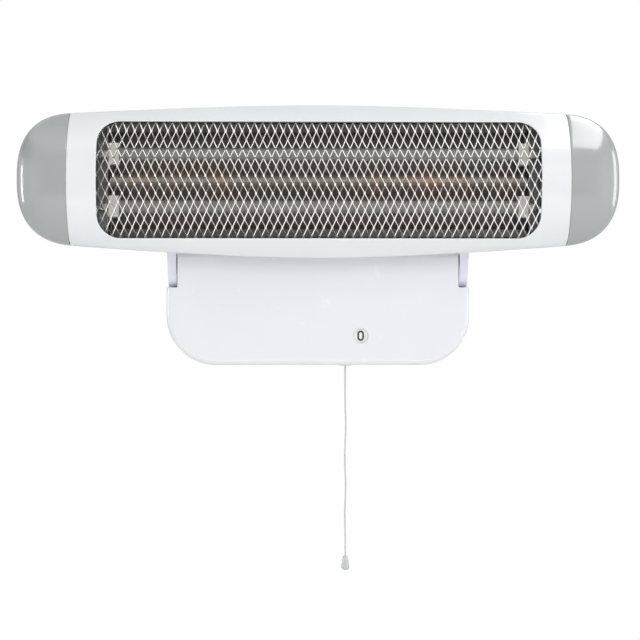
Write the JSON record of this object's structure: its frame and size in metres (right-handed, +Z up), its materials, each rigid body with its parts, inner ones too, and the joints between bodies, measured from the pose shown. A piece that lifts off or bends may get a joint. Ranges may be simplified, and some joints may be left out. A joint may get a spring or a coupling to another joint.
{
  "type": "radiant heater",
  "caption": "Wall-mounted radiant heater: long tilting head with quartz tubes behind a metal grille, two side arms, shallow wall base with a pull-cord switch.",
  "frame": {"origin": "centre of the four wall-screw holes, on the wall plane", "axes": "+Z up, +X to the right of a person who faces the heater, -Y out from the wall"},
  "size_m": [0.598, 0.125, 0.4746],
  "materials": {
    "shell_white": "gloss",
    "cap_grey": "gloss",
    "base_white": "gloss",
    "arm_white": "satin",
    "grille_metal": "bright",
    "reflector_metal": "polished",
    "sheet_steel": "satin",
    "spring_steel": "satin",
    "screw_steel": "bright",
    "terminal_metal": "bright",
    "quartz": "satin",
    "coil_wire": "dark",
    "ceramic": "matte",
    "block_ceramic": "matte",
    "cutout_body": "matte",
    "wire_sleeve": "matte",
    "lead_jacket": "matte",
    "fibre": "matte",
    "plate_plastic": "matte",
    "window_clear": "gloss",
    "disc_white": "matte",
    "numeral_ink": "matte",
    "switch_plastic": "matte",
    "drum_plastic": "satin",
    "contact_brass": "satin",
    "cord_white": "matte",
    "bell_grey": "satin",
    "block_plastic": "matte",
    "grommet_rubber": "matte",
    "wire_brown": "satin"
  },
  "bodies": {
    "base": {"friction_washers": "fibre", "pivot_bracket_left": "sheet_steel", "pivot_bracket_right": "sheet_steel", "bracket_screws": "screw_steel", "base_front_shell": "base_white", "base_back_plate": "plate_plastic", "base_screws": "screw_steel", "indicator_window": "window_clear", "switch_housing": "switch_plastic", "switch_cover": "switch_plastic", "switch_contacts": "contact_brass", "switch_screws": "screw_steel", "return_spring": "spring_steel", "cord_bush": "base_white", "mains_terminal_block": "block_plastic", "cable_grommet": "grommet_rubber", "base_wires": "wire_brown", "base_lead": "lead_jacket"},
    "head": {"head_front_shell": "shell_white", "head_rear_shell": "shell_white", "end_cap_left": "cap_grey", "end_cap_right": "cap_grey", "guard_grille": "grille_metal", "reflector": "reflector_metal", "heat_shield": "sheet_steel", "shield_screws": "screw_steel", "tube_bracket_left": "sheet_steel", "tube_bracket_right": "sheet_steel", "quartz_tube_upper": "quartz", "quartz_tube_lower": "quartz", "heating_coil_upper": "coil_wire", "heating_coil_lower": "coil_wire", "ceramic_ends_left": "ceramic", "ceramic_ends_right": "ceramic", "tube_terminals": "terminal_metal", "head_terminal_block": "block_ceramic", "thermal_cutout": "cutout_body", "head_wires": "wire_sleeve", "hinge_lead": "lead_jacket", "shell_screws": "screw_steel", "arm_left": "arm_white", "arm_right": "arm_white", "arm_cover_left": "arm_white", "arm_cover_right": "arm_white", "arm_screws": "screw_steel", "pivot_sleeve_left": "sheet_steel", "pivot_sleeve_right": "sheet_steel", "spring_washers": "spring_steel", "pivot_nuts": "screw_steel"},
    "pull": {"pull_cord": "cord_white", "cord_bell": "bell_grey"},
    "drum": {"cord_drum": "drum_plastic", "drum_winding": "cord_white"},
    "indicator": {"switch_spindle": "switch_plastic", "indicator_disc": "disc_white", "indicator_numerals": "numeral_ink"}
  },
  "joints": [
    {"name": "head_tilt", "type": "hinge", "parent": "base", "child": "head", "pos_m": [0, -0.025, 0.043], "axis": [1, 0, 0], "range_deg": [0, 45]},
    {"name": "cord_pull", "type": "slide", "parent": "base", "child": "pull", "axis": [0, 0, -1], "range_m": [0, 0.0168], "stiffness_N_per_m": 250, "springref_m": -0.01},
    {"name": "drum_turn", "type": "hinge", "parent": "base", "child": "drum", "pos_m": [0.0365, -0.022, -0.009], "axis": [0, -1, 0], "range_deg": [0, 121]},
    {"name": "indicator_turn", "type": "hinge", "parent": "base", "child": "indicator", "pos_m": [0.0365, -0.022, -0.009], "axis": [0, -1, 0], "continuous": true}
  ],
  "couplings": [
    {"joint": "drum_turn", "follows": "cord_pull", "rad_per_m": 125}
  ]
}
